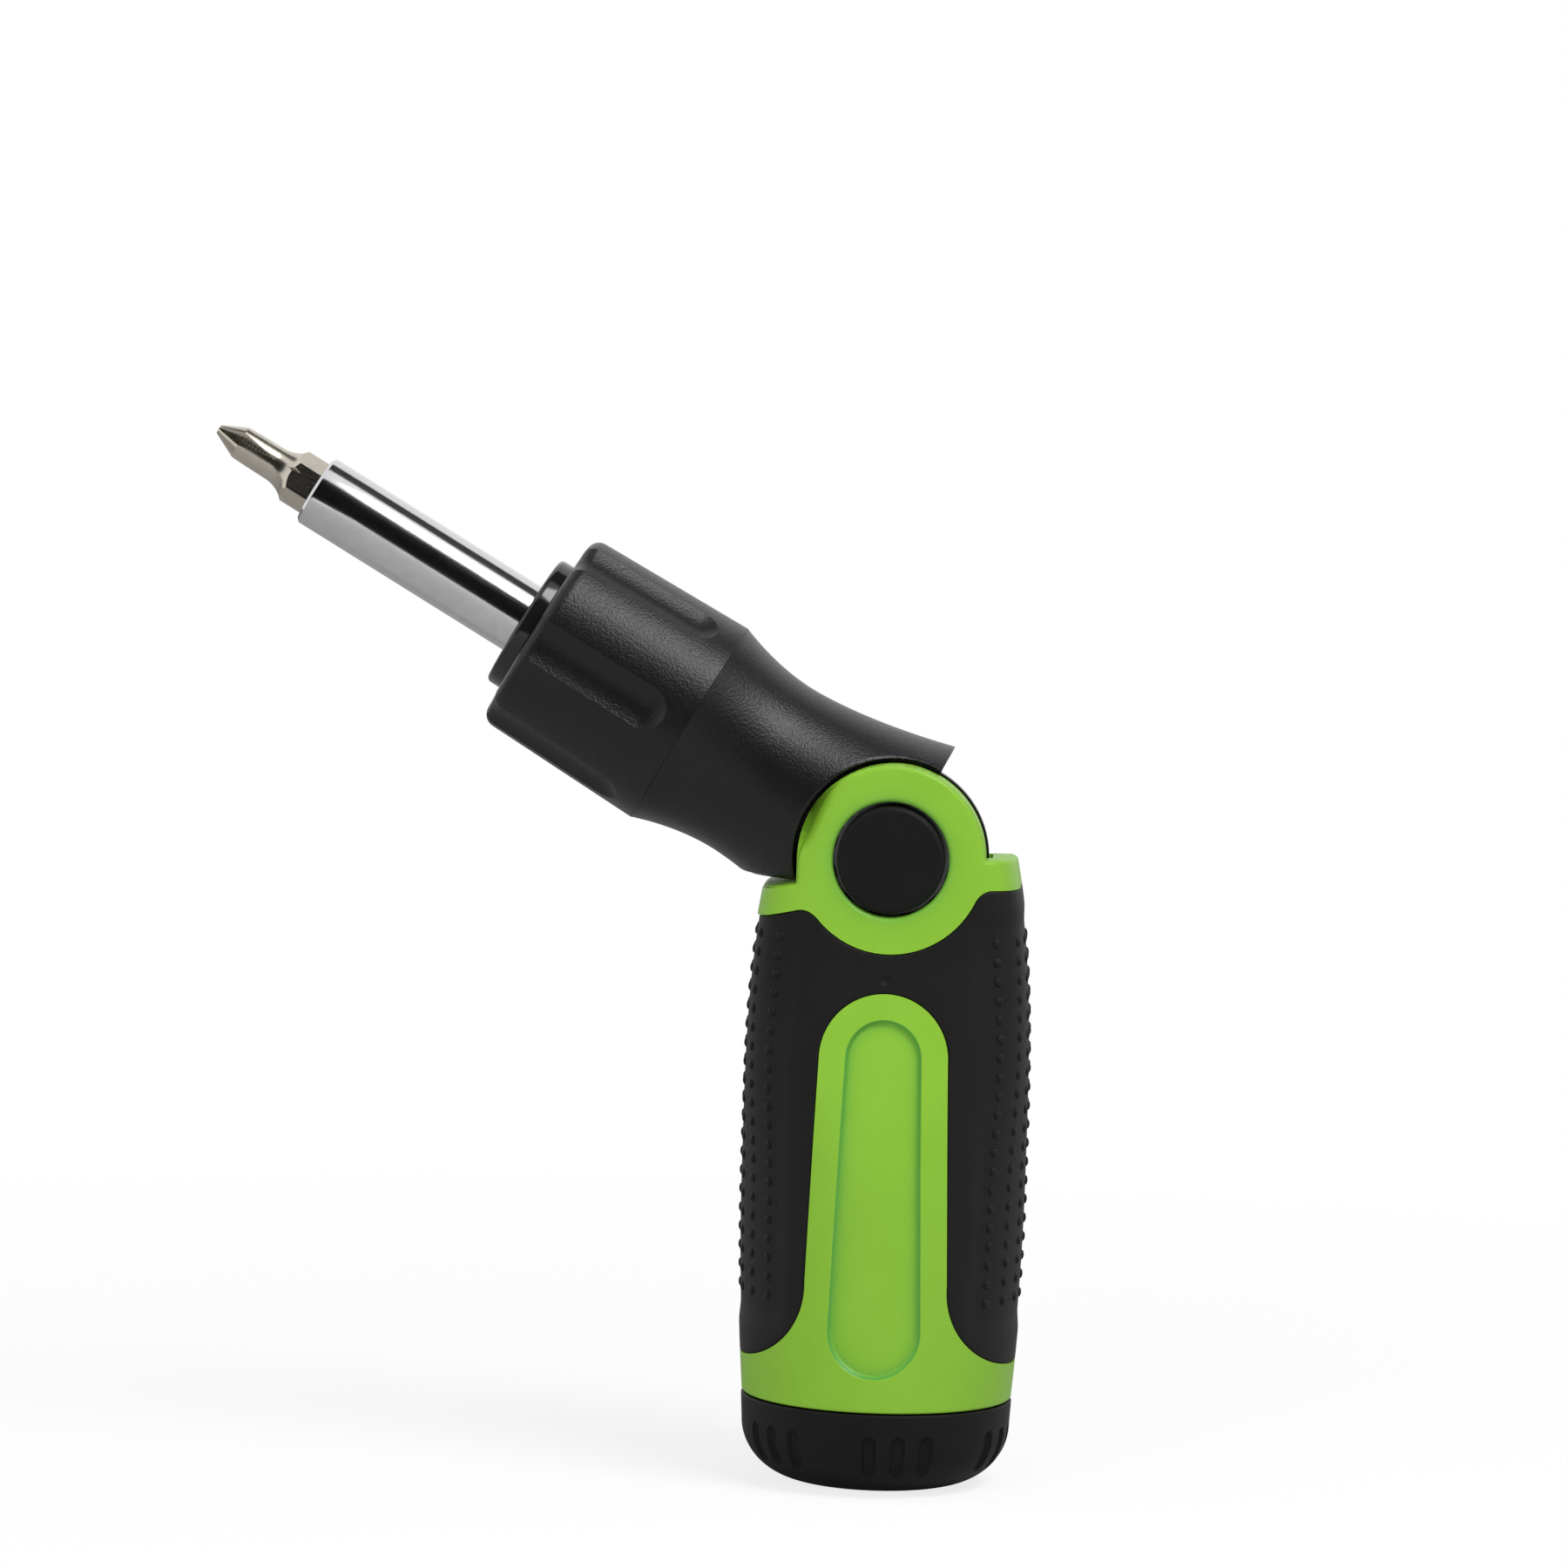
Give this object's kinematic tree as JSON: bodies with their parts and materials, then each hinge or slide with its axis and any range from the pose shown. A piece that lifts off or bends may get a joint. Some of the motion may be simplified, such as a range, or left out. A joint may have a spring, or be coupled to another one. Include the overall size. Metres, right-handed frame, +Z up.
{
  "type": "multi-bit screwdriver",
  "caption": "Hand screwdriver with a ratchet head that pivots between straight and bent and locks by a push button, and spare bits stored in the capped handle.",
  "frame": {"origin": "centre of the flat foot under the end cap", "axes": "+Z up along the handle, +X to the right of the tool's front, front facing -Y, head bent towards -X at rest"},
  "size_m": [0.1076, 0.0358, 0.1332],
  "materials": {
    "green_plastic": "moulded, satin gloss",
    "soft_grip": "soft overmould, satin",
    "black_plastic": "fine moulded grain",
    "gloss_black": "smooth",
    "chrome_steel": "polished and plated",
    "nickel_steel": "nickel plated",
    "plain_steel": "plain",
    "rack_nylon": "moulded",
    "seal_rubber": "smooth"
  },
  "bodies": {
    "handle": {"handle_core": "green_plastic", "grip_sleeve": "soft_grip", "pivot_axle": "plain_steel", "pivot_cap": "black_plastic"},
    "head": {"head_shell": "black_plastic", "nose_bushing": "gloss_black", "pawl_spring": "plain_steel", "thrust_washers": "plain_steel", "selector_detent": "plain_steel", "lock_spring": "plain_steel"},
    "lock_button": {"lock_button": "black_plastic", "lock_gear": "plain_steel"},
    "selector": {"selector_collar": "black_plastic"},
    "shaft": {"bit_shaft": "chrome_steel", "ratchet_gear": "plain_steel", "socket_magnet": "plain_steel", "socket_ring": "plain_steel"},
    "left_pawl": {"pawl_left": "plain_steel"},
    "right_pawl": {"pawl_right": "plain_steel"},
    "driver_bit": {"cross_bit": "nickel_steel"},
    "rack": {"bit_rack": "rack_nylon", "swivel_clip": "plain_steel", "slot_bit": "nickel_steel", "wide_slot_bit": "nickel_steel", "small_cross_bit": "nickel_steel", "square_bit": "nickel_steel", "star_bit": "nickel_steel", "hex_bit": "nickel_steel"},
    "end_cap": {"end_cap": "black_plastic", "cap_seal": "seal_rubber"}
  },
  "joints": [
    {"name": "head_pivot", "type": "hinge", "parent": "handle", "child": "head", "pos_m": [0, 0, 0.0815], "axis": [0, 1, 0], "range_deg": [0, 60]},
    {"name": "lock_press", "type": "slide", "parent": "head", "child": "lock_button", "axis": [0, 1, 0], "range_m": [0, 0.0032], "stiffness_N_per_m": 150, "springref_m": -0.004, "deforming": ["lock_spring"]},
    {"name": "selector_turn", "type": "hinge", "parent": "head", "child": "selector", "pos_m": [0, 0, 0.0815], "axis": [-0.866, 0, 0.5], "range_deg": [-25, 25]},
    {"name": "shaft_spin", "type": "hinge", "parent": "head", "child": "shaft", "pos_m": [0, 0, 0.0815], "axis": [-0.866, 0, 0.5], "continuous": true},
    {"name": "pawl_left_lift", "type": "hinge", "parent": "head", "child": "left_pawl", "pos_m": [-0.03941, 0.0015, 0.09386], "axis": [0.866, 0, -0.5], "range_deg": [0, 8]},
    {"name": "pawl_right_lift", "type": "hinge", "parent": "head", "child": "right_pawl", "pos_m": [-0.03041, 0.0015, 0.10944], "axis": [-0.866, 0, 0.5], "range_deg": [0, 8], "deforming": ["pawl_spring"]},
    {"name": "bit_pull", "type": "slide", "parent": "shaft", "child": "driver_bit", "axis": [-0.866, 0, 0.5], "range_m": [0, 0.02]},
    {"name": "rack_slide", "type": "slide", "parent": "handle", "child": "rack", "axis": [0, 0, -1], "range_m": [0, 0.045]},
    {"name": "cap_turn", "type": "hinge", "parent": "rack", "child": "end_cap", "pos_m": [0, 0, 0], "axis": [0, 0, 1], "range_deg": [0, 90]}
  ]
}
